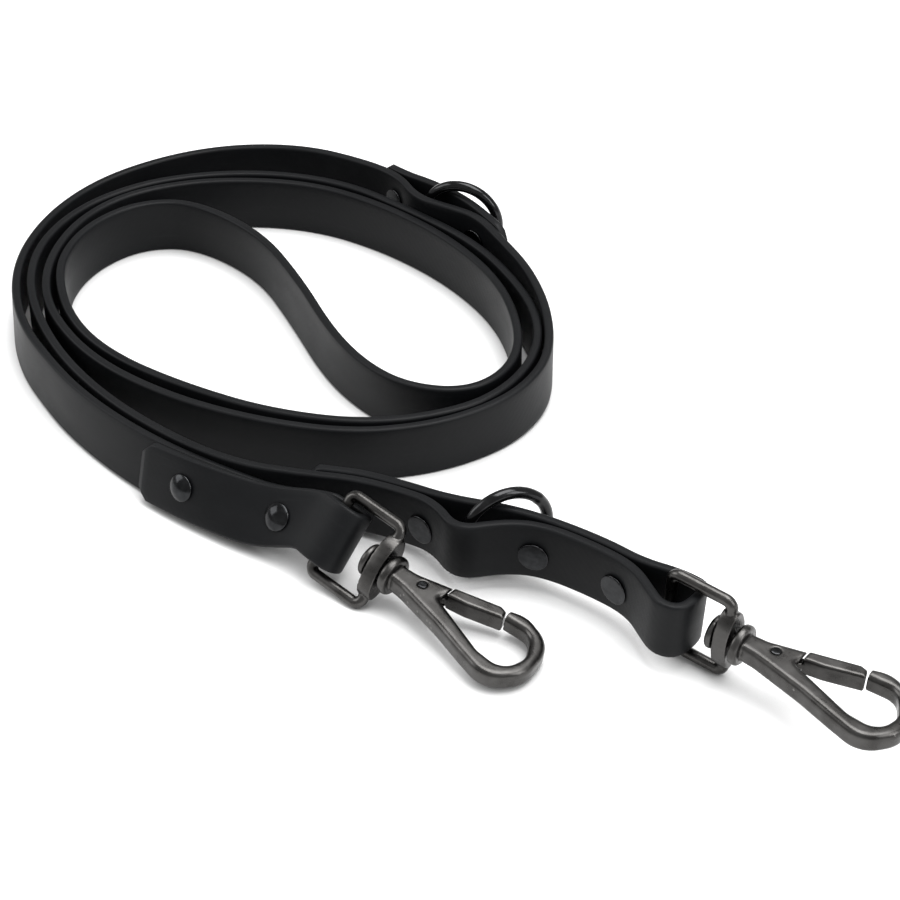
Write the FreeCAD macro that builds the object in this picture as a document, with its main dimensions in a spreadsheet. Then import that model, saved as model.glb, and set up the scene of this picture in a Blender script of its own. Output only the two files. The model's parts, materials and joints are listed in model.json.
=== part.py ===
import FreeCAD, Part
import math
import os

# A double-ended training leash, lying coiled on a flat surface. All lengths are millimetres, +Z is up.
# One flat coated strap stands on its edge. It winds in from each end to an S across the middle.
# Each end is folded round the eye of a swivel snap hook and riveted back onto itself.
# One O-ring hangs on the long tail of end B and one under a short riveted patch halfway along.

doc = FreeCAD.newDocument("training_leash")

SIZES = {
    "strap_width": 20.0,
    "strap_thick": 3.0,
    "post_dia": 3.2,
    "cap_dia": 9.0,
    "cap_rise": 2.1,
    "cap_flange": 0.5,
    "head_dia": 9.6,
    "head_thick": 0.9,
    "post_entry": 0.8,
    "ring_wire": 3.8,
    "ring_mean_radius": 13.5,
    "eye_wire": 3.6,
    "eye_length": 20.0,
    "eye_height": 27.0,
    "eye_corner": 2.4,
    "boss_half_thick": 2.4,
    "boss_width": 10.6,
    "boss_length": 21.0,
    "swivel_bore_dia": 5.2,
    "stud_dia": 5.0,
    "stud_head_dia": 10.6,
    "stud_head_thick": 2.4,
    "stud_head_face": 2.8,
    "stud_end": 9.8,
    "collar_dia": 12.6,
    "collar_face": 3.2,
    "collar_thick": 3.0,
    "hook_thick": 6.5,
    "hook_round": 1.9,
    "gate_thick": 6.3,
    "gate_round": 0.9,
    "gate_root_thick": 1.9,
    "gate_slot": 3.7,
    "pin_dia": 3.0,
    "pin_bore_dia": 3.2,
    "pin_length": 6.9,
    "pin_x": 15.0,
    "pin_y": 1.2,
    "spring_wire": 0.6,
    "spring_radius": 2.15,
    "spring_leg": 5.5,
}
sheet = doc.addObject("Spreadsheet::Sheet", "sizes")
for row, (alias, value) in enumerate(SIZES.items(), start=1):
    sheet.set(f"A{row}", alias)
    sheet.set(f"B{row}", str(value))
    sheet.setAlias(f"B{row}", alias)
doc.recompute()

V = FreeCAD.Vector
X_AXIS, Y_AXIS, Z_AXIS = V(1, 0, 0), V(0, 1, 0), V(0, 0, 1)
HALF_WIDTH = SIZES["strap_width"] / 2
nodes = []
# The routes and placements below are laid out from a point near the middle of the coil.
# This moves them so that the finished box stands on the origin.
ORIGIN = FreeCAD.Placement(V(-1.973, -7.424, 0.0), FreeCAD.Rotation())


def size(alias):
    return sheet.get(alias)


def bind(obj, **expressions):
    """Binds an object's properties to cells of the sheet."""
    for name, expression in expressions.items():
        obj.setExpression(name, expression)
    return obj


def primitive(kind, name, place=None, **expressions):
    obj = doc.addObject(kind, name)
    bind(obj, **expressions)
    if place is not None:
        obj.Placement = place
    return obj


def at(x=0.0, y=0.0, z=0.0, turn=None):
    return FreeCAD.Placement(V(x, y, z), turn or FreeCAD.Rotation())


def about(axis, degrees):
    return FreeCAD.Rotation(axis, degrees)


def fuse(name, *shapes):
    obj = doc.addObject("Part::MultiFuse", name)
    obj.Shapes = list(shapes)
    return obj


def cut(name, base, tool):
    obj = doc.addObject("Part::Cut", name)
    obj.Base, obj.Tool = base, tool
    return obj


def common(name, *shapes):
    obj = doc.addObject("Part::MultiCommon", name)
    obj.Shapes = list(shapes)
    return obj


def compound(name, members):
    obj = doc.addObject("Part::Compound", name)
    obj.Links = members
    return obj


def node(obj, label, place=None):
    """Marks an object as a finished sub-part, which is written under its label."""
    obj.Label = label
    obj.Placement = ORIGIN.multiply(place or at())
    nodes.append(obj)
    return obj


# ---------------------------------------------------------------- where the two hooks stand

# A hook's own frame: origin in the middle of its swivel, +X out along the hook, +Z up along its eye.
# The eye of end A leans back with the strap, and its nose droops. The strap holds end B nearly level.
END_A_YAW, END_A_LEAN, END_A_DROOP = 4.0, -39.0, 10.3
END_B_YAW, END_B_LEAN, END_B_DROOP = 1.0, 0.0, 3.0
TURN_A = about(Z_AXIS, END_A_YAW) * about(X_AXIS, END_A_LEAN) * about(Y_AXIS, END_A_DROOP)
TURN_B = about(Z_AXIS, END_B_YAW) * about(X_AXIS, END_B_LEAN) * about(Y_AXIS, END_B_DROOP)
SWIVEL_A, SWIVEL_B = 38.0, 0.0
HOOK_A = at(27.4, -68.3, 11.85, TURN_A)
HOOK_B = at(127.0, -34.1, 15.3, TURN_B)


def eye_bar_foot(hook):
    """The point of the eye's strap bar that is level with the strap's lower edge."""
    return hook.multVec(V(-SIZES["eye_length"], 0, -HALF_WIDTH))


# ---------------------------------------------------------------- the route of the strap

# Each row: x, y and z of the strap's lower edge, then how far its upper edge leans in x and y, as a
# share of the width. The curve passes the middle of each run between two rows, tangent to it.


def fold(hook, near_side, lift=0.0):
    """Rows round an eye bar: (along the hook, to its side), from the layer on near_side to the other."""
    foot, turn = eye_bar_foot(hook), hook.Rotation
    rake = turn.multVec(Z_AXIS)
    rows = []
    for along, side in near_side:
        p = foot + turn.multVec(V(along, side, lift))
        rows.append((p.x, p.y, p.z, rake.x, rake.y))
    return rows


FOLD_A = [(-7.5, -1.9), (-2.5, -3.8), (2.0, -4.6), (7.1, -4.0), (7.1, 4.0), (2.0, 4.6), (-2.5, 3.8), (-7.5, 1.9)]
FOLD_B = [(-1.5, 4.2), (4.0, 4.8), (8.6, 4.6), (9.2, -2.0), (7.8, -8.2), (2.5, -9.9), (-2.0, -7.6)]
LIFT_B = 0.8

TAIL_A = [
    (-61.5, -79.75, 1.35, -0.02, 0.27),
    (-48.0, -80.3, 1.8, -0.03, 0.35),
    (-31.0, -79.65, 2.4, -0.04, 0.47),
    (-15.0, -78.0, 3.4, -0.04, 0.57),
]
MAIN_A = [
    (-15.0, -75.2, 1.5, -0.04, 0.57),
    (-31.0, -76.6, 0.9, -0.04, 0.47),
    (-47.0, -76.95, 0.7, -0.03, 0.35),
    (-60.0, -76.2, 0.5, -0.02, 0.26),
    (-76.0, -74.8, 0.4, 0.0, 0.2),
    (-94.0, -71.6, 0.3, 0.0, 0.15),
]
COIL = [
    (-112.0, -66.5, 0.3, 0.02, 0.12),
    (-141.5, -54.0, 0.15, 0.04, 0.06),
    (-166.0, -31.5, 0.1, 0.05, 0.02),
    (-179.0, -3.0, 0.06, 0.03, 0.0),
    (-180.5, 26.0, 0.2, 0.0, 0.0),
    (-171.0, 53.0, 0.6, 0.0, 0.0),
    (-155.0, 72.5, 1.6, 0.0, 0.0),
    (-133.0, 85.0, 3.2, 0.0, 0.0),
    (-110.0, 89.2, 4.2, 0.0, 0.0),
    (-93.0, 89.2, 4.8, 0.0, 0.0),
    (-79.0, 81.6, 5.0, 0.0, 0.0),
    (-66.0, 83.5, 5.0, 0.0, 0.0),
    (-54.0, 85.3, 4.9, 0.0, 0.0),
    (-40.0, 79.5, 4.4, 0.0, 0.0),
    (-22.0, 71.6, 3.6, 0.0, 0.0),
    (-3.5, 57.5, 2.4, 0.0, 0.0),
    (10.5, 39.5, 1.2, 0.0, 0.0),
    (14.0, 22.0, 0.4, 0.0, 0.0),
    (11.0, 5.0, 0.0, 0.0, 0.0),
    (1.5, -14.0, 0.0, 0.0, 0.0),
    (-16.0, -32.0, 0.0, 0.0, 0.0),
    (-44.5, -45.5, 0.0, 0.0, 0.0),
    (-75.5, -53.0, 0.0, 0.0, 0.0),
    (-108.0, -53.0, 0.0, 0.0, 0.0),
    (-138.0, -42.0, 0.0, 0.0, 0.0),
    (-156.0, -25.5, 0.0, 0.0, 0.0),
    (-167.0, -2.5, 0.0, 0.0, 0.0),
    (-168.0, 19.0, 0.0, 0.0, 0.0),
    (-161.0, 36.0, 0.0, 0.0, 0.0),
    (-146.0, 54.0, 0.0, 0.0, 0.0),
    (-119.5, 71.3, 0.0, 0.0, 0.0),
    (-90.0, 76.4, 0.0, 0.0, 0.0),
    (-57.5, 74.0, 0.0, 0.0, 0.0),
    (-27.5, 63.5, 0.0, 0.0, 0.0),
    (-4.0, 43.5, 0.0, 0.0, 0.0),
    (4.5, 25.0, 0.0, 0.0, 0.0),
    (0.5, 8.0, 0.0, 0.0, 0.0),
    (-16.0, -1.5, 0.0, 0.0, 0.0),
    (-34.0, -1.5, 0.05, 0.0, 0.02),
    (-56.0, 5.0, 0.15, 0.04, 0.08),
    (-84.0, 21.0, 0.18, 0.05, 0.09),
    (-112.5, 35.5, 0.06, 0.01, 0.02),
    (-144.0, 36.5, 0.0, 0.0, 0.0),
    (-158.5, 24.5, 0.0, 0.0, 0.0),
    (-163.0, 7.0, 0.0, 0.0, 0.0),
    (-159.5, -11.0, 0.0, 0.0, 0.0),
    (-149.0, -26.5, 0.0, 0.0, 0.0),
    (-127.0, -42.0, 0.0, 0.0, 0.0),
    (-102.0, -48.0, 0.0, 0.0, 0.0),
    (-71.5, -45.5, 0.0, 0.0, 0.0),
    (-41.0, -38.5, 0.0, 0.0, 0.0),
    (-12.5, -23.5, 0.0, 0.0, 0.0),
    (5.0, -1.0, 0.0, 0.0, 0.0),
    (9.5, 17.0, 0.0, 0.0, 0.0),
    (7.0, 35.0, 0.0, 0.0, 0.0),
    (-2.0, 51.0, 0.0, 0.0, 0.0),
    (-18.5, 64.5, 0.0, 0.0, 0.0),
    (-48.0, 77.4, 0.0, 0.0, 0.0),
    (-80.0, 79.8, 0.0, 0.0, 0.0),
    (-111.0, 79.2, 0.0, 0.0, 0.0),
    (-140.0, 65.5, 0.0, 0.0, 0.0),
    (-163.0, 42.0, 0.0, 0.0, 0.0),
    (-172.6, 18.0, 0.0, 0.0, 0.0),
    (-172.0, -4.0, 0.0, 0.0, 0.0),
    (-164.0, -23.5, 0.0, 0.0, 0.0),
    (-147.5, -41.0, 0.0, 0.0, 0.0),
    (-119.0, -57.0, 0.0, 0.0, 0.0),
    (-88.0, -65.5, 0.0, 0.0, 0.0),
    (-56.0, -67.5, 0.1, 0.0, 0.0),
]
MAIN_B = [
    (-32.0, -64.7, 0.3, 0.0, 0.0),
    (-13.0, -56.9, 1.0, 0.0, 0.0),
    (3.0, -49.9, 2.2, 0.0, 0.0),
    (18.0, -47.2, 3.6, 0.0, 0.0),
    (30.5, -46.4, 4.7, 0.0, 0.0),
    (43.5, -53.0, 5.3, 0.0, 0.0),
    (52.5, -42.3, 5.6, 0.0, 0.0),
    (63.0, -36.0, 5.8, 0.0, 0.0),
    (82.0, -34.7, 6.4, 0.0, 0.0),
    (95.0, -35.9, 6.9, 0.03, 0.0),
]
TAIL_B = [
    (95.0, -32.3, 6.9, 0.03, 0.0),
    (82.0, -31.3, 6.4, 0.0, 0.0),
    (63.0, -32.8, 5.9, 0.0, 0.0),
    (49.0, -36.0, 5.6, 0.0, 0.0),
    (33.0, -42.2, 5.0, 0.0, 0.0),
    (18.0, -44.1, 3.7, 0.0, 0.0),
    (3.0, -46.4, 2.2, 0.0, 0.0),
    (-7.0, -50.5, 1.4, 0.0, 0.0),
    (-13.8, -53.3, 1.0, 0.0, 0.0),
]
STRAP = TAIL_A + fold(HOOK_A, FOLD_A) + MAIN_A + COIL + MAIN_B + fold(HOOK_B, FOLD_B[::-1], LIFT_B) + TAIL_B
PATCH = [
    (-102.5, 92.7, 4.7, 0.0, 0.0),
    (-92.0, 91.1, 5.1, 0.0, 0.0),
    (-80.0, 92.0, 5.4, 0.0, 0.0),
    (-66.0, 91.2, 5.4, 0.0, 0.0),
    (-54.0, 88.2, 5.1, 0.0, 0.0),
    (-41.0, 83.6, 4.6, 0.0, 0.0),
]


class Route:
    """A smooth route through rows, as quadratic pieces between the middles of the runs."""

    def __init__(self, rows):
        c = [list(r) for r in rows]
        self.pieces = []
        for i in range(1, len(c) - 1):
            start = c[0] if i == 1 else self.middle(c[i - 1], c[i])
            end = c[-1] if i == len(c) - 2 else self.middle(c[i], c[i + 1])
            self.pieces.append((start, c[i], end))

    @staticmethod
    def middle(a, b):
        return [(p + q) / 2 for p, q in zip(a, b)]

    def frame(self, piece, share):
        """The lower edge's point, the width direction, the run direction and the face normal."""
        a, b, c = self.pieces[piece]
        k = [(1 - share) ** 2, 2 * share * (1 - share), share**2]
        row = [k[0] * p + k[1] * q + k[2] * r for p, q, r in zip(a, b, c)]
        run = V(*[(1 - share) * (q - p) + share * (r - q) for p, q, r in zip(a[:3], b[:3], c[:3])])
        across = V(row[3], row[4], math.sqrt(1 - row[3] ** 2 - row[4] ** 2))
        run = (run - across * run.dot(across)).normalize()
        return V(*row[:3]), across, run, run.cross(across)

    def stations(self, per_piece):
        for piece in range(len(self.pieces)):
            for k in range(per_piece):
                yield self.frame(piece, k / per_piece)
        yield self.frame(len(self.pieces) - 1, 1.0)

    def nearest(self, point, first, last):
        """The frame whose middle of the width is nearest to a point, between two pieces."""
        best = None
        for piece in range(first, last):
            for k in range(21):
                f = self.frame(piece, k / 20)
                gap = (f[0] + f[1] * HALF_WIDTH - point).Length
                if best is None or gap < best[0]:
                    best = (gap, f)
        return best[1]

    def length(self):
        middles = [f[0] + f[1] * HALF_WIDTH for f in self.stations(8)]
        return sum((b - a).Length for a, b in zip(middles, middles[1:]))


END_CLIP = 4.0
BORE_REACH = 6.0


def ribbon(route, per_piece):
    """A flat strap along a route: a ruled solid through its upright sections."""
    width, half_thick = size("strap_width"), size("strap_thick") / 2
    sections = []
    for p, across, _, face in route.stations(per_piece):
        corners = [p - face * half_thick, p - face * half_thick + across * width]
        corners += [p + face * half_thick + across * width, p + face * half_thick]
        sections.append(Part.makePolygon(corners + corners[:1]))
    return Part.makeLoft(sections, True, True)


def clip_tools(route):
    """Prisms that cut the two corners off both free ends of a strap."""
    width = size("strap_width")
    tools = []
    for last in (False, True):
        p, across, run, face = route.frame(len(route.pieces) - 1 if last else 0, 1.0 if last else 0.0)
        inward = run * (-1 if last else 1)
        for edge, up in ((p, across), (p + across * width, across * -1)):
            corner = edge - inward * 0.5 - up * 0.5
            side = END_CLIP + 1.0
            triangle = Part.makePolygon([corner, corner + inward * side, corner + up * side, corner])
            prism = Part.Face(triangle).extrude(face * 8)
            prism.translate(face * -4)
            tools.append(prism)
    return tools


# ---------------------------------------------------------------- rivets


class Rivet:
    """A rivet through two layers, from the outer face of its flat head's layer to that of its cap's."""

    def __init__(self, head_frame, cap_frame, height):
        half = size("strap_thick") / 2
        middle = head_frame[0] + head_frame[1] * height
        self.axis = head_frame[3]
        across = (cap_frame[0] + cap_frame[1] * height - middle).dot(self.axis)
        if across < 0:
            self.axis = self.axis * -1
            across = -across
        self.foot = middle - self.axis * half
        self.grip = across + 2 * half

    def place(self, height=0.0):
        turn = FreeCAD.Rotation(Z_AXIS, self.axis)
        return FreeCAD.Placement(self.foot + self.axis * height, turn)


def rivet_tools(rivet):
    """The hole for the post, and the flat seats that the head and the cap press into the strap."""
    depth, spare = 1.2, 0.1
    start = rivet.foot - rivet.axis * depth
    far = rivet.foot + rivet.axis * rivet.grip
    hole = Part.makeCylinder(size("post_dia") / 2, rivet.grip + 2 * depth, start, rivet.axis)
    head_seat = Part.makeCylinder(size("head_dia") / 2 + spare, depth, start, rivet.axis)
    cap_seat = Part.makeCylinder(size("cap_dia") / 2 + spare, depth, far, rivet.axis)
    return [hole, head_seat, cap_seat]


def rivet_base(name, rivet):
    """The flat head on the strap's face, with the post that goes through both layers."""
    head = primitive(
        "Part::Cylinder", name + "_head", Radius="sizes.head_dia / 2", Height="sizes.head_thick"
    )
    head.Placement = rivet.place(-size("head_thick"))
    post = primitive("Part::Cylinder", name + "_post", Radius="sizes.post_dia / 2")
    post.setExpression("Height", f"{rivet.grip:.4f} + sizes.post_entry")
    post.Placement = rivet.place()
    return fuse(name, head, post)


def rivet_cap(name, rivet):
    """The domed cap, with the socket that the post is driven into."""
    flange = primitive(
        "Part::Cylinder", name + "_flange", Radius="sizes.cap_dia / 2", Height="sizes.cap_flange"
    )
    flange.Placement = rivet.place(rivet.grip)
    dome = primitive("Part::Sphere", name + "_dome")
    rise, base = size("cap_rise") - size("cap_flange"), size("cap_dia") / 2
    ball = (base**2 + rise**2) / (2 * rise)
    dome.Radius = ball
    dome.Angle1 = math.degrees(math.asin((ball - rise) / ball))
    dome.Placement = rivet.place(rivet.grip + size("cap_flange") - (ball - rise))
    socket = primitive(
        "Part::Cylinder", name + "_socket", Radius="sizes.post_dia / 2", Height="sizes.post_entry"
    )
    socket.Placement = rivet.place(rivet.grip)
    return cut(name, fuse(name + "_blank", flange, dome), socket)


def rivet_set(label, rivets):
    bases = [rivet_base(f"{label}_base_{i}", r) for i, r in enumerate(rivets)]
    caps = [rivet_cap(f"{label}_cap_{i}", r) for i, r in enumerate(rivets)]
    node(compound(f"{label}_rivet_bases", bases), f"{label}_rivet_bases")
    node(compound(f"{label}_rivet_caps", caps), f"{label}_rivet_caps")


# ---------------------------------------------------------------- the strap, its patch and rivets

strap_route, patch_route = Route(STRAP), Route(PATCH)
LAST = len(strap_route.pieces)
TAIL_A_PIECES = (0, len(TAIL_A) + 1)
MAIN_A_PIECES = (len(TAIL_A) + len(FOLD_A) - 3, len(TAIL_A) + len(FOLD_A) + len(MAIN_A))
TAIL_B_PIECES = (LAST - len(TAIL_B) - 1, LAST)
MAIN_B_PIECES = (LAST - len(TAIL_B) - len(FOLD_B) - len(MAIN_B) - 3, LAST - len(TAIL_B) - len(FOLD_B) + 2)
RING_SPAN_START = len(TAIL_A) + len(FOLD_A) + len(MAIN_A) + 5


def pair(point, head_pieces, cap_pieces, height=HALF_WIDTH):
    head = strap_route.nearest(point, *head_pieces)
    middle = head[0] + head[1] * HALF_WIDTH
    return Rivet(head, strap_route.nearest(middle, *cap_pieces), height)


RIVETS_A = [V(-45.0, -73.0, 10.0), V(-9.5, -68.5, 11.5)]
RIVETS_B = [V(90.0, -35.0, 17.0), V(61.5, -37.5, 15.5), V(27.0, -46.5, 14.0), V(-3.5, -52.0, 12.0)]
RIVET_HEIGHT_B = 8.6
RIVETS_PATCH = [V(-92.0, 88.0, 15.0), V(-54.0, 84.0, 15.0)]
rivets_a = [pair(p, MAIN_A_PIECES, TAIL_A_PIECES) for p in RIVETS_A]
rivets_b = [pair(p, MAIN_B_PIECES, TAIL_B_PIECES, RIVET_HEIGHT_B) for p in RIVETS_B]
rivets_patch = []
for p in RIVETS_PATCH:
    seat = strap_route.nearest(p, RING_SPAN_START, RING_SPAN_START + 8)
    seat_middle = seat[0] + seat[1] * HALF_WIDTH
    over = patch_route.nearest(seat_middle, 0, len(patch_route.pieces))
    rivets_patch.append(Rivet(seat, over, HALF_WIDTH))

tools = [tool for r in rivets_a + rivets_b + rivets_patch for tool in rivet_tools(r)]
strap_shape = ribbon(strap_route, 3).cut(clip_tools(strap_route) + tools)
strap = doc.addObject("Part::Feature", "strap")
strap.Shape = strap_shape
node(strap, "strap")

patch_tools = [tool for r in rivets_patch for tool in rivet_tools(r)]
patch_shape = ribbon(patch_route, 3).cut(clip_tools(patch_route) + patch_tools)
ring_patch = doc.addObject("Part::Feature", "ring_patch")
ring_patch.Shape = patch_shape
node(ring_patch, "ring_patch")

rivet_set("end_a", rivets_a)
rivet_set("end_b", rivets_b)
rivet_set("patch", rivets_patch)

# ---------------------------------------------------------------- the two O-rings

RING_FLOOR = SIZES["ring_mean_radius"] + SIZES["ring_wire"] / 2
END_RING = at(48.6, -34.9, RING_FLOOR, about(Z_AXIS, 60.0) * about(X_AXIS, 90.0))
MID_RING = at(-66.0, 91.1, RING_FLOOR, about(Z_AXIS, 20.0) * about(X_AXIS, 90.0))
for label, place in (("end_ring", END_RING), ("mid_ring", MID_RING)):
    ring = primitive(
        "Part::Torus", label, Radius1="sizes.ring_mean_radius", Radius2="sizes.ring_wire / 2"
    )
    node(ring, label, place)

# ---------------------------------------------------------------- the swivel snap hooks


def eye(name, place):
    """The rectangular wire eye, swollen into a flat-faced boss round the swivel bore."""
    length, half_height, corner = SIZES["eye_length"], SIZES["eye_height"] / 2, SIZES["eye_corner"]
    spine = doc.addObject("Sketcher::SketchObject", name + "_spine")
    spine.Placement = at(turn=about(X_AXIS, 90.0))
    corners = [(0, 0, 0), (0, half_height, corner), (-length, half_height, corner)]
    corners += [(-length, -half_height, corner), (0, -half_height, corner)]
    outline(spine, corners)
    section = primitive("Part::Circle", name + "_section", Radius="sizes.eye_wire / 2")
    doc.recompute()
    wire = doc.addObject("Part::Sweep", name + "_wire")
    wire.Sections = [section]
    wire.Spine = (spine, [f"Edge{i + 1}" for i in range(len(spine.Shape.Edges))])
    wire.Solid = True
    swell = primitive(
        "Part::Ellipsoid",
        name + "_swell",
        Radius1="sizes.boss_length / 2",
        Radius2="sizes.boss_width",
        Radius3="sizes.boss_width / 2",
    )
    slab = primitive(
        "Part::Box",
        name + "_slab",
        Length="2 * sizes.boss_half_thick",
        Width="2 * sizes.boss_width",
        Height="2 * sizes.boss_length",
    )
    slab.Placement = at(-SIZES["boss_half_thick"], -SIZES["boss_width"], -SIZES["boss_length"])
    boss = common(name + "_boss", swell, slab)
    bore = primitive("Part::Cylinder", name + "_bore", Radius="sizes.swivel_bore_dia / 2")
    bore.Height = 2 * BORE_REACH
    bore.Placement = at(-BORE_REACH, 0, 0, about(Y_AXIS, 90.0))
    node(cut(name, fuse(name + "_blank", boss, wire), bore), name, place)


def plane(body, role):
    for feature in body.Origin.OriginFeatures:
        if feature.Role == role:
            return feature
    raise RuntimeError(f"{body.Name} has no {role}")


def sketch(body, name, role):
    s = body.newObject("Sketcher::SketchObject", name)
    s.AttachmentSupport = [(plane(body, role), "")]
    s.MapMode = "FlatFace"
    return s


def outline(target, corners):
    """Draws a closed outline of straight runs, each corner (x, y, radius) rounded by an arc."""
    count = len(corners)
    spans = []
    for i, (x, y, radius) in enumerate(corners):
        here = V(x, y, 0)
        back = V(*corners[i - 1][:2], 0) - here
        ahead = V(*corners[(i + 1) % count][:2], 0) - here
        back.normalize()
        ahead.normalize()
        if radius == 0:
            spans.append((here, None, here))
            continue
        half = math.acos(max(-1.0, min(1.0, back.dot(ahead)))) / 2
        reach = radius / math.tan(half)
        centre = here + (back + ahead).normalize() * (radius / math.sin(half))
        inmost = centre + (here - centre).normalize() * radius
        spans.append((here + back * reach, inmost, here + ahead * reach))
    for i, (start, inmost, end) in enumerate(spans):
        if inmost is not None:
            target.addGeometry(Part.Arc(start, inmost, end), False)
        following = spans[(i + 1) % count][0]
        if (following - end).Length > 1e-4:
            target.addGeometry(Part.LineSegment(end, following), False)


def pad(body, name, profile, length):
    feature = body.newObject("PartDesign::Pad", name)
    feature.Profile = profile
    feature.setExpression("Length", length)
    feature.Midplane = True
    return feature


def pocket(body, name, profile, length):
    """A cut through the middle plane, both ways, which has to take material away."""
    doc.recompute()
    before = body.Shape.Volume
    feature = body.newObject("PartDesign::Pocket", name)
    feature.Profile = profile
    feature.setExpression("Length", length)
    feature.Midplane = True
    doc.recompute()
    if body.Shape.Volume > before - 0.1:
        raise RuntimeError(f"{name} cuts nothing")
    return feature


def turned(body, name, points, kind="PartDesign::Revolution"):
    """A profile (x, radius) turned round the body's X axis."""
    profile = sketch(body, name + "_profile", "XY_Plane")
    outline(profile, points)
    feature = body.newObject(kind, name)
    feature.Profile = profile
    feature.ReferenceAxis = (profile, ["H_Axis"])
    feature.Angle = 360.0
    return feature


def rounded(body, name, radius, wanted):
    """Rounds the edges that a test picks."""
    doc.recompute()
    base = body.Tip
    names = [f"Edge{i}" for i, e in enumerate(base.Shape.Edges, start=1) if wanted(e)]
    feature = body.newObject("PartDesign::Fillet", name)
    feature.Base = (base, names)
    feature.setExpression("Radius", radius)
    doc.recompute()
    return feature


def swivel_stud(name, place):
    """The button head inside the eye and the shank that is pressed into the hook."""
    face, head = SIZES["stud_head_face"], SIZES["stud_head_dia"] / 2
    back, shank = face + SIZES["stud_head_thick"], SIZES["stud_dia"] / 2
    body = doc.addObject("PartDesign::Body", name)
    turned(
        body,
        name + "_turning",
        [
            (-back, 0, 0),
            (-back, head, 1.1),
            (-face, head, 1.1),
            (-face, shank, 0),
            (SIZES["stud_end"], shank, 0.5),
            (SIZES["stud_end"], 0, 0),
        ],
    )
    node(body, name, place)


# The closed loop of the hook, gate and all, seen along its thickness: outside, then inside.
HOOK_OUTSIDE = [
    (5.6, -3.6, 0),
    (5.6, 3.6, 0),
    (11.0, 4.0, 8.0),
    (22.0, 7.4, 8.0),
    (37.0, 12.2, 6.0),
    (44.6, 14.9, 9.0),
    (56.4, 11.0, 10.5),
    (58.8, -3.6, 10.5),
    (51.0, -13.6, 9.5),
    (39.0, -10.6, 14.0),
    (28.0, -7.5, 40.0),
    (11.0, -4.0, 8.0),
]
HOOK_INSIDE = [
    (21.6, 1.0, 1.0),
    (22.6, 3.4, 0.8),
    (40.0, 9.0, 6.0),
    (49.6, 9.8, 5.6),
    (54.2, 1.6, 6.0),
    (52.2, -6.6, 5.6),
    (42.6, -6.2, 9.0),
]
# What is taken out of the loop for the gate, with the seams at its two ends.
GATE_GAP = [(21.9, 1.2, 0), (21.9, 10.0, 0), (39.3, 16.0, 0), (40.3, 7.0, 0), (30.0, 3.4, 0), (25.0, 1.2, 0)]
GATE_OUTLINE = [
    (22.3, 3.5, 0.4),
    (22.3, 7.5, 0.6),
    (36.6, 12.0, 1.2),
    (38.9, 11.4, 0.5),
    (39.85, 8.5, 0.4),
    (28.5, 4.7, 3.0),
]
GATE_ROOT = [(13.2, -1.0, 1.7), (12.6, 3.3, 1.7), (17.5, 4.6, 2.0), (24.0, 6.6, 0), (24.0, 4.6, 0), (17.0, -1.0, 1.7)]
CHEEK_SLOT = [(11.6, -1.5, 0.3), (11.6, 9.0, 0), (24.0, 9.0, 0), (24.0, 1.0, 0), (18.4, -1.5, 0.3)]


def disc(target, x, y, radius):
    target.addGeometry(Part.Circle(V(x, y, 0), Z_AXIS, radius), False)


def on_rim(flat):
    """Tells the edges that lie on the two flat faces, past the collar."""

    def test(edge):
        middle = edge.CenterOfMass
        return abs(abs(middle.z) - flat) < 1e-3 and middle.x > 7.0

    return test


def hook_body(name, place):
    """The cast hook with its collar: a bent bar, with two cheeks that carry the gate."""
    body = doc.addObject("PartDesign::Body", name)
    profile = sketch(body, name + "_outline", "XY_Plane")
    outline(profile, HOOK_OUTSIDE)
    outline(profile, HOOK_INSIDE)
    pad(body, name + "_bar", profile, "sizes.hook_thick")
    rounded(body, name + "_rim", "sizes.hook_round", on_rim(SIZES["hook_thick"] / 2))
    start, collar, neck = SIZES["collar_face"], SIZES["collar_dia"] / 2, SIZES["hook_thick"] / 2
    end = start + SIZES["collar_thick"]
    turned(
        body,
        name + "_collar",
        [(start, 0, 0), (start, collar, 1.1), (end, collar, 1.1), (end, neck, 0), (9.0, neck - 0.5, 0), (9.0, 0, 0)],
    )
    gap = sketch(body, name + "_gap_outline", "XY_Plane")
    outline(gap, GATE_GAP)
    pocket(body, name + "_gap", gap, "sizes.hook_thick + 2")
    slot = sketch(body, name + "_slot_outline", "XY_Plane")
    outline(slot, CHEEK_SLOT)
    pocket(body, name + "_slot", slot, "sizes.gate_slot")
    hole = sketch(body, name + "_pin_outline", "XY_Plane")
    disc(hole, SIZES["pin_x"], SIZES["pin_y"], SIZES["pin_dia"] / 2)
    pocket(body, name + "_pin_hole", hole, "sizes.hook_thick + 2")
    before = body.Shape.Volume
    shank = SIZES["stud_dia"] / 2
    turned(
        body,
        name + "_stud_bore",
        [(start - 1, 0, 0), (start - 1, shank, 0), (SIZES["stud_end"], shank, 0), (SIZES["stud_end"], 0, 0)],
        "PartDesign::Groove",
    )
    doc.recompute()
    if body.Shape.Volume > before - 0.1:
        raise RuntimeError(f"{name} has no stud bore")
    node(body, name, place)


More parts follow.
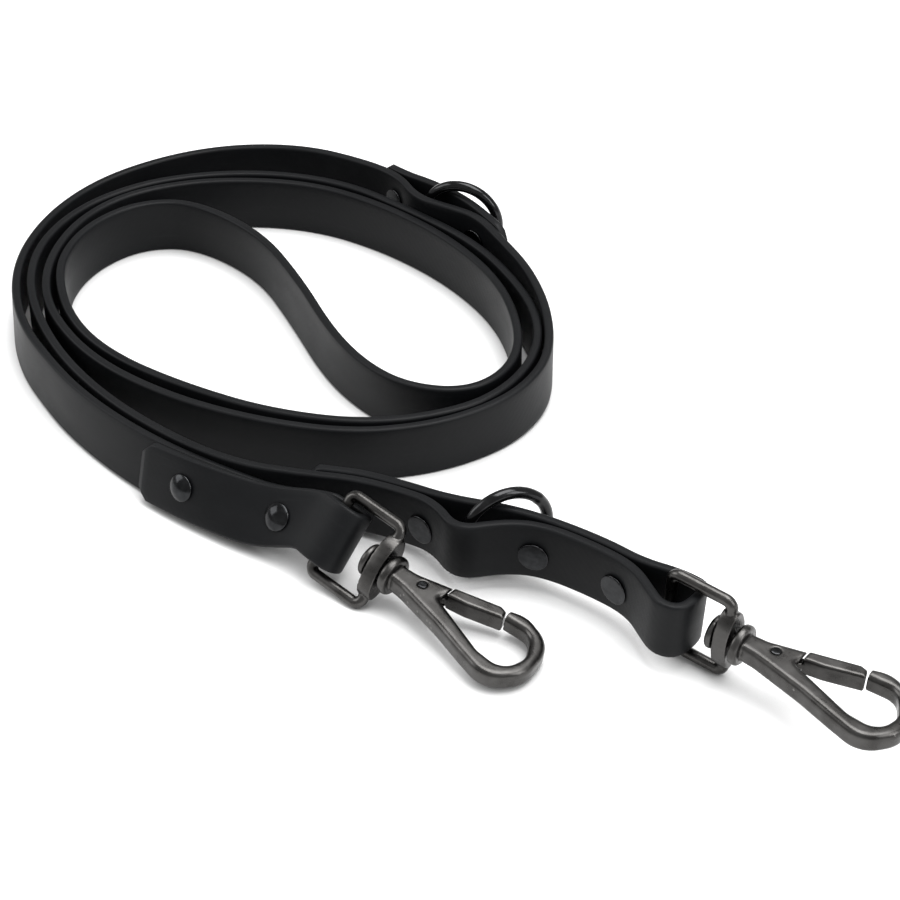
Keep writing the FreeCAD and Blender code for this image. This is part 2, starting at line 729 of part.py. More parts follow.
def gate(name, place):
    """The folded gate: full height at its nose, a thin tongue between the cheeks at its root."""
    body = doc.addObject("PartDesign::Body", name)
    root = sketch(body, name + "_root_outline", "XY_Plane")
    outline(root, GATE_ROOT)
    pad(body, name + "_root", root, "sizes.gate_root_thick")
    leaf = sketch(body, name + "_leaf_outline", "XY_Plane")
    outline(leaf, GATE_OUTLINE)
    pad(body, name + "_leaf", leaf, "sizes.gate_thick")
    flat = SIZES["gate_thick"] / 2

    def long_rim(edge):
        middle = edge.CenterOfMass
        return abs(abs(middle.z) - flat) < 1e-3 and edge.Length > 9.0 and middle.y > 6.5

    rounded(body, name + "_rim", "sizes.gate_round", long_rim)
    hole = sketch(body, name + "_pin_outline", "XY_Plane")
    disc(hole, SIZES["pin_x"], SIZES["pin_y"], SIZES["pin_bore_dia"] / 2)
    pocket(body, name + "_pin_hole", hole, "sizes.gate_root_thick + 2")
    node(body, name, place)


def gate_pin(name, place):
    pin = primitive("Part::Cylinder", name, Radius="sizes.pin_dia / 2", Height="sizes.pin_length")
    pin_place = at(SIZES["pin_x"], SIZES["pin_y"], -SIZES["pin_length"] / 2)
    node(pin, name, place.multiply(pin_place))


def gate_spring(name, place):
    """The torsion spring round the pin, above the gate's root, with its leg along the gate."""
    level = SIZES["gate_root_thick"] / 2 + SIZES["spring_wire"] / 2 + 0.1
    coil = primitive(
        "Part::Torus", name + "_coil", Radius1="sizes.spring_radius", Radius2="sizes.spring_wire / 2"
    )
    coil.Placement = at(SIZES["pin_x"], SIZES["pin_y"], level)
    leg = primitive("Part::Cylinder", name + "_leg", Radius="sizes.spring_wire / 2", Height="sizes.spring_leg")
    leg_turn = about(Z_AXIS, 17.0) * about(Y_AXIS, 90.0)
    leg.Placement = at(SIZES["pin_x"] - 0.6, SIZES["pin_y"] + SIZES["spring_radius"] - 0.1, level, leg_turn)
    node(fuse(name, coil, leg), name, place)


for side, hook, swivel in (("a", HOOK_A, SWIVEL_A), ("b", HOOK_B, SWIVEL_B)):
    turned_hook = hook.multiply(FreeCAD.Placement(V(0, 0, 0), about(X_AXIS, swivel)))
    eye(f"eye_{side}", hook)
    swivel_stud(f"swivel_stud_{side}", turned_hook)
    hook_body(f"hook_body_{side}", turned_hook)
    gate(f"gate_{side}", turned_hook)
    gate_pin(f"gate_pin_{side}", turned_hook)
    gate_spring(f"gate_spring_{side}", turned_hook)

# ---------------------------------------------------------------- check and write

doc.recompute()
for obj in doc.Objects:
    if "Invalid" in obj.State or "Error" in obj.State:
        raise RuntimeError(f"{obj.Name} failed: {obj.State}")
os.makedirs("parts", exist_ok=True)
box = FreeCAD.BoundBox()
for obj in nodes:
    shape = obj.Shape
    if shape.isNull() or not shape.isValid():
        raise RuntimeError(f"{obj.Label} has no valid shape")
    box.add(shape.BoundBox)
    shape.exportStep(f"parts/{obj.Label}.step")
    print(f"{obj.Label}: {len(shape.Solids)} solids, {shape.Volume:.1f} mm3")
print("box", box, "centre", box.Center)
print(f"strap length {strap_route.length():.1f}, volume {strap_shape.Volume:.0f}")
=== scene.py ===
import math
import json

import bpy
import bmesh
from mathutils import Matrix, Vector


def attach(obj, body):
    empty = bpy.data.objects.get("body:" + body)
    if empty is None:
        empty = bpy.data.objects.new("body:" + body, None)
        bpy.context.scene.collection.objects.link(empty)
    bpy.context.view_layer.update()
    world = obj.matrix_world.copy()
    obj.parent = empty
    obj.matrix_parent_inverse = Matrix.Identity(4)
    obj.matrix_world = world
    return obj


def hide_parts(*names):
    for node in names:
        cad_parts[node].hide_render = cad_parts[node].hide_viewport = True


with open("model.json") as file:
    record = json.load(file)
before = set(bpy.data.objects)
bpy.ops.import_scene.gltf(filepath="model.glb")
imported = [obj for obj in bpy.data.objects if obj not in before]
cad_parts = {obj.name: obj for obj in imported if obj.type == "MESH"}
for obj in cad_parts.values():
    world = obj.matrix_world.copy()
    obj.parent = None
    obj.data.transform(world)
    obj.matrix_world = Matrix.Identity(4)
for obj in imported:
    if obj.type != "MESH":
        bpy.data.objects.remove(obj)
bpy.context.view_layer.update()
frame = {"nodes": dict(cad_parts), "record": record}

MM = 0.001
# In mm. The route and the camera are laid out from a point near the coil's middle; adding ORIGIN to a
# place there gives its place in the frame.
ORIGIN = Vector((-1.973, -7.424, 0.0))

# ---------------------------------------------------------------- camera

CAMERA_AT = Vector((377.8, -483.5, 488.0))  # mm, from the layout point
CAMERA_LENS = 97.2
SENSOR_WIDTH = 36.0
FAR_CLIP = 20.0
scene = bpy.context.scene
camera_data = bpy.data.cameras.new("camera")
camera_data.lens = CAMERA_LENS
camera_data.sensor_width = SENSOR_WIDTH
camera_data.clip_end = FAR_CLIP
camera = bpy.data.objects.new("camera", camera_data)
scene.collection.objects.link(camera)
camera.location = (CAMERA_AT + ORIGIN) * MM
camera.rotation_euler = (-CAMERA_AT).to_track_quat("-Z", "Y").to_euler()
scene.camera = camera

# ---------------------------------------------------------------- the strap's route

STRAP_WIDTH = 20.0
STRAP_THICK = 3.0
EDGE_ROUND = 0.95
EYE_LENGTH = 20.0


def rotation(axis, degrees):
    return Matrix.Rotation(math.radians(degrees), 3, axis)


# Each hook's swivel centre, and how the hook stands: yaw, then lean, then droop.
TURN_A = rotation("Z", 4.0) @ rotation("X", -39.0) @ rotation("Y", 10.3)
TURN_B = rotation("Z", 1.0) @ rotation("Y", 3.0)
HOOK_A_AT = Vector((27.4, -68.3, 11.85))
HOOK_B_AT = Vector((127.0, -34.1, 15.3))


def fold(centre, turn, around, lift=0.0):
    """Rows round an eye's bar, from (along the hook, to its side) pairs."""
    foot = centre + turn @ Vector((-EYE_LENGTH, 0.0, -STRAP_WIDTH / 2))
    rake = turn @ Vector((0.0, 0.0, 1.0))
    rows = []
    for along, side in around:
        p = foot + turn @ Vector((along, side, lift))
        rows.append((p.x, p.y, p.z, rake.x, rake.y))
    return rows


# Each row: x, y and z of the strap's lower edge, then how far its upper edge leans in x and y, as a
# share of the width. The curve passes the middle of each run between two rows, tangent to it.

FOLD_A = [(-7.5, -1.9), (-2.5, -3.8), (2.0, -4.6), (7.1, -4.0)]
FOLD_A += [(along, -side) for along, side in reversed(FOLD_A)]
FOLD_B = [(-1.5, 4.2), (4.0, 4.8), (8.6, 4.6), (9.2, -2.0), (7.8, -8.2), (2.5, -9.9), (-2.0, -7.6)]
# How far the strap rides above the middle of end B's eye.
LIFT_B = 0.8

TAIL_A = [
    (-61.5, -79.75, 1.35, -0.02, 0.27),
    (-48.0, -80.3, 1.8, -0.03, 0.35),
    (-31.0, -79.65, 2.4, -0.04, 0.47),
    (-15.0, -78.0, 3.4, -0.04, 0.57),
]
MAIN_A = [
    (-15.0, -75.2, 1.5, -0.04, 0.57),
    (-31.0, -76.6, 0.9, -0.04, 0.47),
    (-47.0, -76.95, 0.7, -0.03, 0.35),
    (-60.0, -76.2, 0.5, -0.02, 0.26),
    (-76.0, -74.8, 0.4, 0.0, 0.2),
    (-94.0, -71.6, 0.3, 0.0, 0.15),
]
COIL = [
    (-112.0, -66.5, 0.3, 0.02, 0.12),
    (-141.5, -54.0, 0.15, 0.04, 0.06),
    (-166.0, -31.5, 0.1, 0.05, 0.02),
    (-179.0, -3.0, 0.06, 0.03, 0.0),
    (-180.5, 26.0, 0.2, 0.0, 0.0),
    (-171.0, 53.0, 0.6, 0.0, 0.0),
    (-155.0, 72.5, 1.6, 0.0, 0.0),
    (-133.0, 85.0, 3.2, 0.0, 0.0),
    (-110.0, 89.2, 4.2, 0.0, 0.0),
    (-93.0, 89.2, 4.8, 0.0, 0.0),
    (-79.0, 81.6, 5.0, 0.0, 0.0),
    (-66.0, 83.5, 5.0, 0.0, 0.0),
    (-54.0, 85.3, 4.9, 0.0, 0.0),
    (-40.0, 79.5, 4.4, 0.0, 0.0),
    (-22.0, 71.6, 3.6, 0.0, 0.0),
    (-3.5, 57.5, 2.4, 0.0, 0.0),
    (10.5, 39.5, 1.2, 0.0, 0.0),
    (14.0, 22.0, 0.4, 0.0, 0.0),
    (11.0, 5.0, 0.0, 0.0, 0.0),
    (1.5, -14.0, 0.0, 0.0, 0.0),
    (-16.0, -32.0, 0.0, 0.0, 0.0),
    (-44.5, -45.5, 0.0, 0.0, 0.0),
    (-75.5, -53.0, 0.0, 0.0, 0.0),
    (-108.0, -53.0, 0.0, 0.0, 0.0),
    (-138.0, -42.0, 0.0, 0.0, 0.0),
    (-156.0, -25.5, 0.0, 0.0, 0.0),
    (-167.0, -2.5, 0.0, 0.0, 0.0),
    (-168.0, 19.0, 0.0, 0.0, 0.0),
    (-161.0, 36.0, 0.0, 0.0, 0.0),
    (-146.0, 54.0, 0.0, 0.0, 0.0),
    (-119.5, 71.3, 0.0, 0.0, 0.0),
    (-90.0, 76.4, 0.0, 0.0, 0.0),
    (-57.5, 74.0, 0.0, 0.0, 0.0),
    (-27.5, 63.5, 0.0, 0.0, 0.0),
    (-4.0, 43.5, 0.0, 0.0, 0.0),
    (4.5, 25.0, 0.0, 0.0, 0.0),
    (0.5, 8.0, 0.0, 0.0, 0.0),
    (-16.0, -1.5, 0.0, 0.0, 0.0),
    (-34.0, -1.5, 0.05, 0.0, 0.02),
    (-56.0, 5.0, 0.15, 0.04, 0.08),
    (-84.0, 21.0, 0.18, 0.05, 0.09),
    (-112.5, 35.5, 0.06, 0.01, 0.02),
    (-144.0, 36.5, 0.0, 0.0, 0.0),
    (-158.5, 24.5, 0.0, 0.0, 0.0),
    (-163.0, 7.0, 0.0, 0.0, 0.0),
    (-159.5, -11.0, 0.0, 0.0, 0.0),
    (-149.0, -26.5, 0.0, 0.0, 0.0),
    (-127.0, -42.0, 0.0, 0.0, 0.0),
    (-102.0, -48.0, 0.0, 0.0, 0.0),
    (-71.5, -45.5, 0.0, 0.0, 0.0),
    (-41.0, -38.5, 0.0, 0.0, 0.0),
    (-12.5, -23.5, 0.0, 0.0, 0.0),
    (5.0, -1.0, 0.0, 0.0, 0.0),
    (9.5, 17.0, 0.0, 0.0, 0.0),
    (7.0, 35.0, 0.0, 0.0, 0.0),
    (-2.0, 51.0, 0.0, 0.0, 0.0),
    (-18.5, 64.5, 0.0, 0.0, 0.0),
    (-48.0, 77.4, 0.0, 0.0, 0.0),
    (-80.0, 79.8, 0.0, 0.0, 0.0),
    (-111.0, 79.2, 0.0, 0.0, 0.0),
    (-140.0, 65.5, 0.0, 0.0, 0.0),
    (-163.0, 42.0, 0.0, 0.0, 0.0),
    (-172.6, 18.0, 0.0, 0.0, 0.0),
    (-172.0, -4.0, 0.0, 0.0, 0.0),
    (-164.0, -23.5, 0.0, 0.0, 0.0),
    (-147.5, -41.0, 0.0, 0.0, 0.0),
    (-119.0, -57.0, 0.0, 0.0, 0.0),
    (-88.0, -65.5, 0.0, 0.0, 0.0),
    (-56.0, -67.5, 0.1, 0.0, 0.0),
]
MAIN_B = [
    (-32.0, -64.7, 0.3, 0.0, 0.0),
    (-13.0, -56.9, 1.0, 0.0, 0.0),
    (3.0, -49.9, 2.2, 0.0, 0.0),
    (18.0, -47.2, 3.6, 0.0, 0.0),
    (30.5, -46.4, 4.7, 0.0, 0.0),
    (43.5, -53.0, 5.3, 0.0, 0.0),
    (52.5, -42.3, 5.6, 0.0, 0.0),
    (63.0, -36.0, 5.8, 0.0, 0.0),
    (82.0, -34.7, 6.4, 0.0, 0.0),
    (95.0, -35.9, 6.9, 0.03, 0.0),
]
TAIL_B = [
    (95.0, -32.3, 6.9, 0.03, 0.0),
    (82.0, -31.3, 6.4, 0.0, 0.0),
    (63.0, -32.8, 5.9, 0.0, 0.0),
    (49.0, -36.0, 5.6, 0.0, 0.0),
    (33.0, -42.2, 5.0, 0.0, 0.0),
    (18.0, -44.1, 3.7, 0.0, 0.0),
    (3.0, -46.4, 2.2, 0.0, 0.0),
    (-7.0, -50.5, 1.4, 0.0, 0.0),
    (-13.8, -53.3, 1.0, 0.0, 0.0),
]
END_A = TAIL_A + fold(HOOK_A_AT, TURN_A, FOLD_A) + MAIN_A
END_B = MAIN_B + fold(HOOK_B_AT, TURN_B, FOLD_B[::-1], LIFT_B) + TAIL_B
STRAP = END_A + COIL + END_B
PATCH = [
    (-102.5, 92.7, 4.7, 0.0, 0.0),
    (-92.0, 91.1, 5.1, 0.0, 0.0),
    (-80.0, 92.0, 5.4, 0.0, 0.0),
    (-66.0, 91.2, 5.4, 0.0, 0.0),
    (-54.0, 88.2, 5.1, 0.0, 0.0),
    (-41.0, 83.6, 4.6, 0.0, 0.0),
]


class Route:
    """A smooth route through rows, as quadratic pieces between the middles of the runs."""

    def __init__(self, rows):
        self.pieces = []
        for i in range(1, len(rows) - 1):
            start = rows[0] if i == 1 else self.middle(rows[i - 1], rows[i])
            end = rows[-1] if i == len(rows) - 2 else self.middle(rows[i], rows[i + 1])
            self.pieces.append((start, rows[i], end))

    @staticmethod
    def middle(a, b):
        return [(p + q) / 2 for p, q in zip(a, b)]

    def frame(self, piece, share):
        """The lower edge's point, the width direction, the run direction and the face normal."""
        a, b, c = self.pieces[piece]
        k = ((1 - share) ** 2, 2 * share * (1 - share), share**2)
        row = [k[0] * p + k[1] * q + k[2] * r for p, q, r in zip(a, b, c)]
        run = Vector([(1 - share) * (q - p) + share * (r - q) for p, q, r in zip(a[:3], b[:3], c[:3])])
        across = Vector((row[3], row[4], math.sqrt(1 - row[3] ** 2 - row[4] ** 2)))
        run = (run - across * run.dot(across)).normalized()
        return Vector(row[:3]), across, run, run.cross(across)

    def stations(self, spacing):
        """Frames along the route about one spacing apart, each with its distance from the start."""
        done = 0.0
        last = None
        for piece in range(len(self.pieces)):
            a, b, c = self.pieces[piece]
            length = (Vector(b[:3]) - Vector(a[:3])).length + (Vector(c[:3]) - Vector(b[:3])).length
            steps = max(2, round(length / spacing))
            for k in range(steps + (piece == len(self.pieces) - 1)):
                f = self.frame(piece, k / steps)
                middle = f[0] + f[1] * (STRAP_WIDTH / 2)
                if last is not None:
                    done += (middle - last).length
                last = middle
                yield done, f


strap_route, patch_route = Route(STRAP), Route(PATCH)

# ---------------------------------------------------------------- materials


class Shader:
    """A Principled material with short ways to add procedural detail."""

    def __init__(self, name, rough, metal, **sockets):
        self.material = bpy.data.materials.new(name)
        self.material.use_nodes = True
        self.nodes = self.material.node_tree.nodes
        self.links = self.material.node_tree.links
        self.bsdf = self.nodes["Principled BSDF"]
        self.bsdf.inputs["Roughness"].default_value = rough
        self.bsdf.inputs["Metallic"].default_value = metal
        for socket, value in sockets.items():
            self.bsdf.inputs[socket.replace("_", " ")].default_value = value
        self.place = self.nodes.new("ShaderNodeTexCoord").outputs["Object"]

    def noise(self, per_metre, detail=4.0, stretch=None, vector=None):
        node = self.nodes.new("ShaderNodeTexNoise")
        node.inputs["Scale"].default_value = per_metre
        node.inputs["Detail"].default_value = detail
        vector = vector or self.place
        if stretch:
            mapping = self.nodes.new("ShaderNodeMapping")
            mapping.inputs["Scale"].default_value = stretch
            self.links.new(vector, mapping.inputs["Vector"])
            vector = mapping.outputs["Vector"]
        self.links.new(vector, node.inputs["Vector"])
        return node.outputs["Fac"]

    def span(self, value, low, high, to_low, to_high):
        """Maps a value from one range to another, and holds it inside."""
        node = self.nodes.new("ShaderNodeMapRange")
        ends = {"From Min": low, "From Max": high, "To Min": to_low, "To Max": to_high}
        for socket, number in ends.items():
            node.inputs[socket].default_value = number
        self.links.new(value, node.inputs["Value"])
        return node.outputs["Result"]

    def mix(self, share, first, second):
        """Mixes two colours, each a colour or another node's output."""
        node = self.nodes.new("ShaderNodeMix")
        node.data_type = "RGBA"
        self.links.new(share, node.inputs["Factor"])
        for socket, value in ((node.inputs[6], first), (node.inputs[7], second)):
            if isinstance(value, bpy.types.NodeSocket):
                self.links.new(value, socket)
            else:
                socket.default_value = (*value, 1.0)
        return node.outputs[2]

    def math(self, operation, a, b):
        node = self.nodes.new("ShaderNodeMath")
        node.operation = operation
        for socket, value in zip(node.inputs, (a, b)):
            if isinstance(value, bpy.types.NodeSocket):
                self.links.new(value, socket)
            else:
                socket.default_value = value
        return node.outputs["Value"]

    def edges(self, low, high):
        """0 on flat surfaces and hollows, 1 on convex edges, which the materials colour lighter as a painted
        highlight.
        """
        pointiness = self.nodes.new("ShaderNodeNewGeometry").outputs["Pointiness"]
        return self.span(pointiness, low, high, 0.0, 1.0)

    def colour(self, socket):
        self.links.new(socket, self.bsdf.inputs["Base Color"])

    def rough(self, socket):
        self.links.new(socket, self.bsdf.inputs["Roughness"])

    def bump(self, height, millimetres, strength=1.0):
        node = self.nodes.new("ShaderNodeBump")
        node.inputs["Distance"].default_value = millimetres * MM
        node.inputs["Strength"].default_value = strength
        self.links.new(height, node.inputs["Height"])
        self.links.new(node.outputs["Normal"], self.bsdf.inputs["Normal"])


def coated_webbing():
    """Semi-matt plastic coating over webbing: a fine grain, a faint weave below it, and a painted sheen on
    its rounded rims, which are coloured lighter.
    """
    s = Shader("coated_webbing", 0.5, 0.0, Specular_IOR_Level=0.12)
    uv = s.nodes.new("ShaderNodeUVMap")
    uv.uv_map = "strap"
    along_across = uv.outputs["UV"]
    weave = s.nodes.new("ShaderNodeTexWave")
    weave.wave_type = "BANDS"
    weave.bands_direction = "DIAGONAL"
    weave.inputs["Scale"].default_value = 210.0
    weave.inputs["Distortion"].default_value = 1.5
    weave.inputs["Detail"].default_value = 1.0
    s.links.new(along_across, weave.inputs["Vector"])
    grain = s.noise(5200.0, 3.0)
    cloudy = s.noise(38.0, 4.0, (1.0, 1.0, 2.2))
    streaks = s.noise(900.0, 3.0, (0.05, 1.0, 1.0), along_across)
    body = s.mix(s.span(cloudy, 0.35, 0.68, 0.0, 1.0), (0.0034, 0.0037, 0.0043), (0.0052, 0.0056, 0.0063))
    scuffed = s.mix(s.span(streaks, 0.6, 0.8, 0.0, 0.35), body, (0.0125, 0.013, 0.014))
    # The convex rims are coloured lighter by the edge mask: a painted sheen.
    s.colour(s.mix(s.edges(0.52, 0.62), scuffed, (0.0125, 0.013, 0.014)))
    s.rough(s.math("ADD", s.span(cloudy, 0.3, 0.7, 0.4, 0.5), s.span(grain, 0.3, 0.7, -0.04, 0.06)))
    height = s.math("ADD", s.math("MULTIPLY", grain, 0.6), s.math("MULTIPLY", weave.outputs["Fac"], 0.25))
    s.bump(height, 0.05, 0.5)
    return s.material


def gunmetal():
    """Plated die casting: satin, a little uneven, with a painted highlight: its convex edges are coloured
    brighter.
    """
    s = Shader("gunmetal", 0.3, 1.0)
    cloudy = s.noise(160.0, 5.0)
    fine = s.noise(2600.0, 4.0)
    scratches = s.noise(700.0, 5.0, (0.12, 1.0, 1.0))
    body = s.mix(s.span(cloudy, 0.35, 0.65, 0.0, 1.0), (0.046, 0.0445, 0.043), (0.074, 0.072, 0.07))
    # The convex edges are coloured brighter: a painted highlight.
    edge_lit_metal = s.mix(s.edges(0.52, 0.6), body, (0.13, 0.126, 0.122))
    s.colour(edge_lit_metal)
    rough = s.math("ADD", s.span(cloudy, 0.3, 0.7, 0.24, 0.33), s.span(scratches, 0.45, 0.75, 0.0, 0.1))
    s.rough(s.math("ADD", rough, s.span(fine, 0.3, 0.7, -0.02, 0.03)))
    s.bump(s.math("ADD", s.math("MULTIPLY", fine, 0.35), s.math("MULTIPLY", cloudy, 0.8)), 0.05, 0.35)
    return s.material


def black_nickel():
    """Polished dark rivets with faint tumbling marks."""
    s = Shader("black_nickel", 0.16, 1.0)
    cloudy = s.noise(420.0, 4.0)
    marks = s.noise(1500.0, 5.0, (0.3, 1.0, 1.0))
    body = s.mix(s.span(cloudy, 0.35, 0.65, 0.0, 1.0), (0.018, 0.0185, 0.0195), (0.03, 0.031, 0.0325))
    # The convex rims of the heads are coloured lighter: a painted glint.
    s.colour(s.mix(s.edges(0.52, 0.6), body, (0.075, 0.075, 0.078)))
    s.rough(s.math("ADD", s.span(cloudy, 0.3, 0.7, 0.13, 0.22), s.span(marks, 0.5, 0.8, 0.0, 0.12)))
    s.bump(marks, 0.02, 0.3)
    return s.material


def ring_black():
    """Glossy black plating with fine handling marks."""
    s = Shader("ring_black", 0.14, 0.85, Coat_Weight=0.15, Coat_Roughness=0.08)
    cloudy = s.noise(300.0, 4.0)
    marks = s.noise(1300.0, 5.0)
    body = s.mix(s.span(cloudy, 0.35, 0.65, 0.0, 1.0), (0.009, 0.0092, 0.0098), (0.017, 0.0173, 0.0182))
    s.colour(s.mix(s.span(marks, 0.62, 0.78, 0.0, 0.6), body, (0.04, 0.04, 0.042)))
    s.rough(s.math("ADD", s.span(cloudy, 0.3, 0.7, 0.1, 0.19), s.span(marks, 0.5, 0.8, 0.0, 0.14)))
    s.bump(cloudy, 0.03, 0.3)
    return s.material


def spring_steel():
    s = Shader("spring_steel", 0.25, 1.0)
    drawn = s.noise(1800.0, 4.0, (0.1, 1.0, 1.0))
    s.colour(s.mix(s.span(drawn, 0.35, 0.7, 0.0, 1.0), (0.36, 0.35, 0.33), (0.56, 0.55, 0.53)))
    s.rough(s.span(drawn, 0.3, 0.7, 0.2, 0.34))
    s.bump(drawn, 0.01, 0.3)
    return s.material


STRAP_LOOK = coated_webbing()
METAL_LOOK = gunmetal()
RIVET_LOOK = black_nickel()
RING_LOOK = ring_black()
SPRING_LOOK = spring_steel()

# ---------------------------------------------------------------- making pieces


def add_piece(name, mesh, body, look):
    """A finished piece, which rides on its body."""
    obj = bpy.data.objects.new(name, mesh)
    scene.collection.objects.link(obj)
    mesh.materials.clear()
    mesh.materials.append(look)
    mesh.polygons.foreach_set("use_smooth", [True] * len(mesh.polygons))
    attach(obj, body)
    return obj


def from_rings(name, rings, closed, caps, uv_name=None, uvs=None):
    """A mesh skinned over closed rings of points, which run round on themselves or end in caps."""
    count = len(rings[0])
    mesh = bpy.data.meshes.new(name)
    faces = []
    for i in range(len(rings) if closed else len(rings) - 1):
        for j in range(count):
            k = (j + 1) % count
            m = (i + 1) % len(rings)
            faces.append((i * count + j, i * count + k, m * count + k, m * count + j))
    if caps:
        faces.append(tuple(range(count))[::-1])
        faces.append(tuple((len(rings) - 1) * count + j for j in range(count)))
    mesh.from_pydata([p for ring in rings for p in ring], [], faces)
    if uvs:
        layer = mesh.uv_layers.new(name=uv_name)
        for loop in mesh.loops:
            layer.data[loop.index].uv = uvs[loop.vertex_index // count][loop.vertex_index % count]
    mesh.validate()
    bm = bmesh.new()
    bm.from_mesh(mesh)
    bmesh.ops.recalc_face_normals(bm, faces=bm.faces)
    bm.to_mesh(mesh)
    bm.free()
    return mesh


# ---------------------------------------------------------------- the strap and the ring patch

FACE_STEPS = 10
ROUND_STEPS = 4
STATION_SPACING = 1.6
END_CLIP = 4.0
CLIP_OVERRUN = 0.3
END_ROUND_REACH = 0.8
END_ROUND_SHARE = 0.35


def strap_section():
    """Points (through the thickness, across the width) round the strap's section, edges rounded."""
    half, width, r = STRAP_THICK / 2, STRAP_WIDTH, EDGE_ROUND
    points = []
    centres = [(half - r, width - r, 0), (r - half, width - r, 90), (r - half, r, 180), (half - r, r, 270)]
    for x, y, start in centres:
        for k in range(ROUND_STEPS + 1):
            angle = math.radians(start + 90 * k / ROUND_STEPS)
            points.append((x + r * math.cos(angle), y + r * math.sin(angle)))
        if start in (90, 270):
            low, high = (width - r, r) if start == 90 else (r, width - r)
            side = -half if start == 90 else half
            for k in range(1, FACE_STEPS):
                points.append((side, low + (high - low) * k / FACE_STEPS))
    return points


def strap_mesh(name, route):
    """A strap along a route, its ends clipped at the corners and a little rounded."""
    section = strap_section()
    frames = list(route.stations(STATION_SPACING))
    length = frames[-1][0]
    rings, uvs = [], []
    for done, (p, across, _, face) in frames:
        from_end = min(done, length - done)
        narrow = max(0.0, END_CLIP - from_end - CLIP_OVERRUN)
        thin = 1.0 - END_ROUND_SHARE * max(0.0, 1.0 - from_end / END_ROUND_REACH) ** 2
        ring, uv = [], []
        for x, y in section:
            y = STRAP_WIDTH / 2 + (y - STRAP_WIDTH / 2) * (1 - 2 * narrow / STRAP_WIDTH)
            ring.append((p + across * y + face * x * thin + ORIGIN) * MM)
            uv.append((done * MM, y * MM))
        rings.append(ring)
        uvs.append(uv)
    return from_rings(name, rings, False, True, "strap", uvs)


strap_skin = strap_mesh("coiled_strap", strap_route)
strap = add_piece("coiled_strap", strap_skin, "leash", STRAP_LOOK)
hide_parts("strap")
patch_skin = strap_mesh("riveted_patch", patch_route)
patch = add_piece("riveted_patch", patch_skin, "leash", STRAP_LOOK)
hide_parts("ring_patch")

# ---------------------------------------------------------------- O-rings

RING_RADIUS = 13.5
RING_WIRE = 1.9
WIRE_UNDERSIZE = 0.02
WELD_RISE = 0.1
WELD_REACH = 1.1
RING_STEPS = 160
WIRE_STEPS = 28


def ring_mesh(name, centre, axis):
    """A bent and butt-welded wire ring, a little thicker at its weld."""
    side = axis.orthogonal().normalized()
    up = axis.cross(side)
    rings = []
    for i in range(RING_STEPS):
        a = 2 * math.pi * i / RING_STEPS
        out = side * math.cos(a) + up * math.sin(a)
        from_weld = min(a, 2 * math.pi - a) * RING_RADIUS
        wire = RING_WIRE - WIRE_UNDERSIZE + WELD_RISE * math.exp(-((from_weld / WELD_REACH) ** 2))
        ring = []
        for j in range(WIRE_STEPS):
            b = 2 * math.pi * j / WIRE_STEPS
            ring.append(centre + (out * (RING_RADIUS + wire * math.cos(b)) + axis * wire * math.sin(b)) * MM)
        rings.append(ring)
    return from_rings(name, rings, True, False)


joints = {j["name"]: j for j in frame["record"]["behaviour"]["joints"]}
for node in ("end_ring", "mid_ring"):
    joint = joints[f"{node}_turn"]
    mesh = ring_mesh(f"{node}_wire", Vector(joint["pos_m"]), Vector(joint["axis"]))
    ring = add_piece(f"{node}_wire", mesh, node, RING_LOOK)
    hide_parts(node)

# ---------------------------------------------------------------- cast and turned parts


def softened(node, voxel, passes, body, look):
    """The node's own shape with cast, rounded edges: remeshed at voxel mm, then relaxed in passes."""
    source = frame["nodes"][node]
    mesh = source.data.copy()
    mesh.name = f"{node}_cast"
    obj = bpy.data.objects.new(f"{node}_cast", mesh)
    scene.collection.objects.link(obj)
    obj.matrix_world = source.matrix_world
    remesh = obj.modifiers.new("remesh", "REMESH")
    remesh.mode = "VOXEL"
    remesh.voxel_size = voxel * MM
    relax = obj.modifiers.new("relax", "SMOOTH")
    relax.factor = 0.5
    relax.iterations = passes
    bpy.context.view_layer.update()
    made = bpy.data.meshes.new_from_object(obj.evaluated_get(bpy.context.evaluated_depsgraph_get()))
    made.transform(obj.matrix_world)
    bpy.data.objects.remove(obj)
    made.name = f"{node}_cast"
    piece = add_piece(f"{node}_cast", made, body, look)
    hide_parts(node)


for side in "ab":
    softened(f"eye_{side}", 0.3, 4, f"eye_{side}", METAL_LOOK)
    softened(f"hook_body_{side}", 0.28, 5, f"hook_{side}", METAL_LOOK)
    softened(f"gate_{side}", 0.24, 2, f"gate_{side}", METAL_LOOK)
    softened(f"swivel_stud_{side}", 0.3, 5, f"hook_{side}", METAL_LOOK)
    softened(f"gate_pin_{side}", 0.2, 4, f"hook_{side}", RIVET_LOOK)
    spring = frame["nodes"][f"gate_spring_{side}"]
    spring.data.materials.clear()
    spring.data.materials.append(SPRING_LOOK)
for place in ("end_a", "end_b", "patch"):
    for part in ("bases", "caps"):
        softened(f"{place}_rivet_{part}", 0.2, 3, "leash", RIVET_LOOK)

# ---------------------------------------------------------------- floor and light

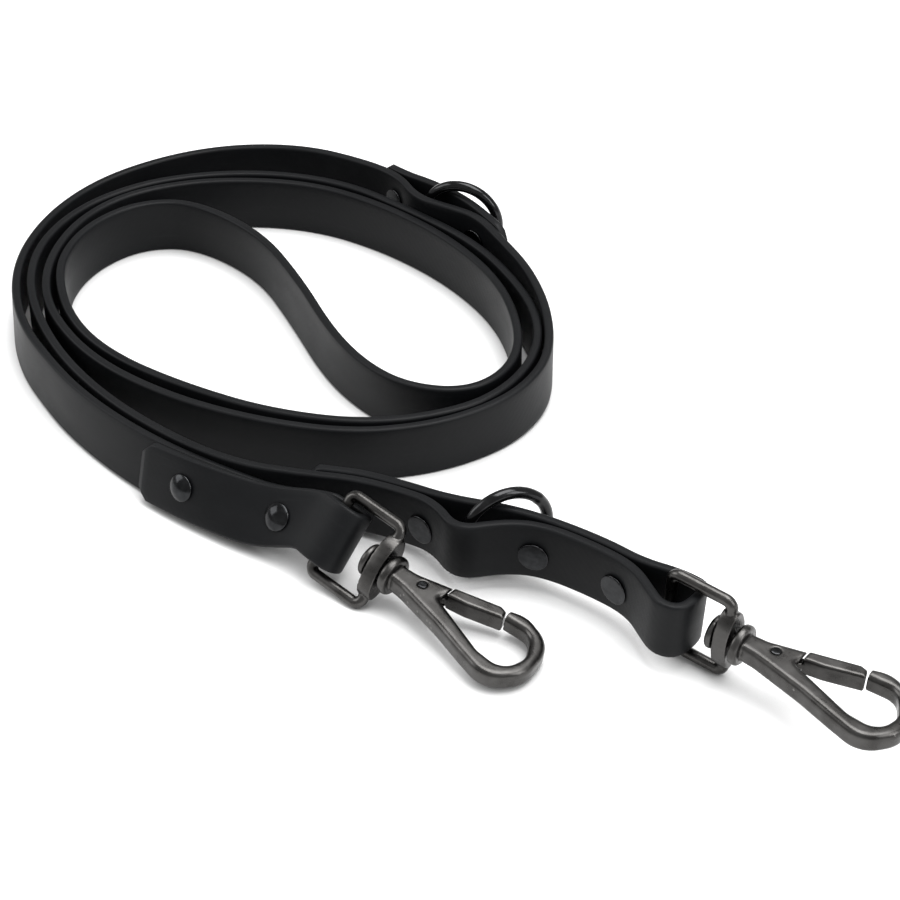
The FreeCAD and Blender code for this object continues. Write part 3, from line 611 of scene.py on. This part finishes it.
floor_mesh = bpy.data.meshes.new("floor")
GAP_REACH = 16.0
SKY_STRENGTH = 0.55
FLOOR_HALF = 6.0
corners = [(-1, -1), (1, -1), (1, 1), (-1, 1)]
floor_mesh.from_pydata([(x * FLOOR_HALF, y * FLOOR_HALF, 0.0) for x, y in corners], [], [(0, 1, 2, 3)])
floor = bpy.data.objects.new("floor", floor_mesh)
scene.collection.objects.link(floor)
paper = Shader("studio_floor", 0.75, 0.0, Specular_IOR_Level=0.15, Emission_Strength=0.6)
shade = paper.noise(3.0, 3.0)
paper.colour(paper.mix(paper.span(shade, 0.3, 0.7, 0.0, 1.0), (0.5, 0.5, 0.5), (0.54, 0.54, 0.54)))
# The sheet is given a painted glow (emission), which lifts the cast shadows on it so they show only faintly;
# in the narrow gaps between two layers ambient occlusion masks the glow off, a painted shade there.
gap_occlusion = paper.nodes.new("ShaderNodeAmbientOcclusion")
gap_occlusion.inputs["Distance"].default_value = GAP_REACH * MM
painted_glow_mask = paper.span(gap_occlusion.outputs["AO"], 0.35, 0.8, 0.0, 1.0)
paper.links.new(paper.mix(painted_glow_mask, (0.0, 0.0, 0.0), (1.0, 1.0, 1.0)), paper.bsdf.inputs["Emission Color"])
floor_mesh.materials.append(paper.material)

world = bpy.data.worlds.new("studio")
world.use_nodes = True
world.node_tree.nodes["Background"].inputs["Color"].default_value = (1.0, 1.0, 1.0, 1.0)
world.node_tree.nodes["Background"].inputs["Strength"].default_value = SKY_STRENGTH
scene.world = world


def area_light(name, at, size, watts):
    """A softbox that faces the coil."""
    data = bpy.data.lights.new(name, "AREA")
    data.shape = "RECTANGLE"
    data.size, data.size_y = size
    data.energy = watts
    obj = bpy.data.objects.new(name, data)
    scene.collection.objects.link(obj)
    obj.location = at
    obj.rotation_euler = (-Vector(at)).to_track_quat("-Z", "Y").to_euler()


area_light("overhead", (0.1, 0.25, 1.5), (1.4, 1.0), 34.0)
area_light("left", (-1.2, -0.7, 0.9), (0.9, 0.9), 10.0)
area_light("right", (1.2, 0.1, 0.8), (0.5, 0.9), 9.0)
scene.view_settings.view_transform = "Standard"
